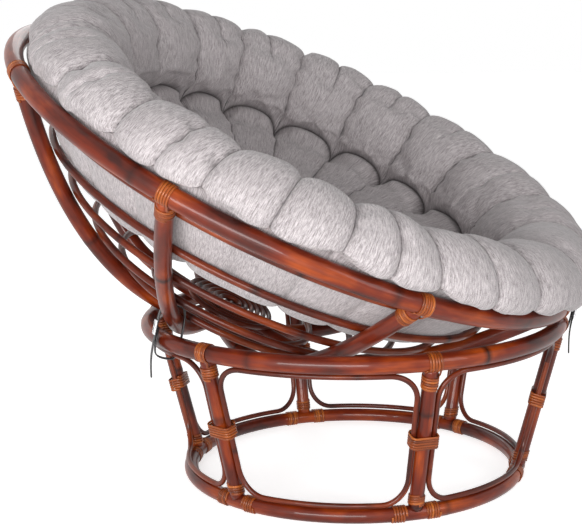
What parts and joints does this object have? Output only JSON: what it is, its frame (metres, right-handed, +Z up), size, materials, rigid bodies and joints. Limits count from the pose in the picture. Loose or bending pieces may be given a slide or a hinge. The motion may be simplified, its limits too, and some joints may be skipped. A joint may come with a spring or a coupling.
{
  "type": "papasan chair",
  "caption": "Round rattan bowl chair with a tufted cushion, laid tilted on a ring-shaped rattan base and tied to it with leather straps.",
  "frame": {"origin": "on the floor, under the middle of the chair's outline", "axes": "+Z up, +X towards the open front that the bowl faces, +Y to the side"},
  "size_m": [1.0056, 1.1104, 0.8688],
  "materials": {
    "rattan_pole": "gloss",
    "rattan_cane": "gloss",
    "cane_lapping": "satin",
    "cushion_fabric": "matte",
    "strap_leather": "satin",
    "buckle_metal": "polished"
  },
  "bodies": {
    "base": {"base_top_ring": "rattan_pole", "base_floor_ring": "rattan_pole", "base_leg_1": "rattan_pole", "base_leg_2": "rattan_pole", "base_leg_3": "rattan_pole", "base_leg_4": "rattan_pole", "base_leg_5": "rattan_pole", "base_leg_6": "rattan_pole", "base_window_loop_1": "rattan_cane", "base_window_loop_2": "rattan_cane", "base_window_loop_3": "rattan_cane", "base_window_loop_4": "rattan_cane", "base_window_loop_5": "rattan_cane", "base_window_loop_6": "rattan_cane", "base_leg_top_lapping_1": "cane_lapping", "base_leg_top_lapping_2": "cane_lapping", "base_leg_top_lapping_3": "cane_lapping", "base_leg_top_lapping_4": "cane_lapping", "base_leg_top_lapping_5": "cane_lapping", "base_leg_top_lapping_6": "cane_lapping", "base_leg_middle_lapping_1": "cane_lapping", "base_leg_middle_lapping_2": "cane_lapping", "base_leg_middle_lapping_3": "cane_lapping", "base_leg_middle_lapping_4": "cane_lapping", "base_leg_middle_lapping_5": "cane_lapping", "base_leg_middle_lapping_6": "cane_lapping", "base_foot_lapping_1": "cane_lapping", "base_foot_lapping_2": "cane_lapping", "base_foot_lapping_3": "cane_lapping", "base_foot_lapping_4": "cane_lapping", "base_foot_lapping_5": "cane_lapping", "base_foot_lapping_6": "cane_lapping", "rear_strap": "strap_leather", "rear_strap_buckle": "buckle_metal", "front_strap": "strap_leather", "front_strap_buckle": "buckle_metal"},
    "bowl": {"bowl_rim": "rattan_pole", "bowl_rib_1": "rattan_pole", "bowl_rib_2": "rattan_pole", "bowl_rib_3": "rattan_pole", "bowl_rib_4": "rattan_pole", "bowl_hoop_1": "rattan_cane", "bowl_hoop_2": "rattan_cane", "bowl_hoop_3": "rattan_cane", "bowl_hoop_4": "rattan_cane", "bowl_hoop_5": "rattan_cane", "bowl_hoop_6": "rattan_cane", "bowl_rosette": "rattan_cane", "bowl_rib_end_lapping_1": "cane_lapping", "bowl_rib_end_lapping_2": "cane_lapping", "bowl_rib_end_lapping_3": "cane_lapping", "bowl_rib_end_lapping_4": "cane_lapping", "bowl_rib_end_lapping_5": "cane_lapping", "bowl_rib_end_lapping_6": "cane_lapping", "bowl_rib_end_lapping_7": "cane_lapping", "bowl_rib_end_lapping_8": "cane_lapping"},
    "cushion": {"seat_cushion": "cushion_fabric"}
  },
  "joints": [
    {"name": "bowl_tilt", "type": "hinge", "parent": "base", "child": "bowl", "pos_m": [0.0906, 0, 0.732], "axis": [0, -1, 0], "range_deg": [0, 27], "deforming": ["rear_strap", "front_strap"]},
    {"name": "cushion_lift", "type": "slide", "parent": "bowl", "child": "cushion", "axis": [0.454, 0, 0.891], "range_m": [0, 0.35]}
  ]
}
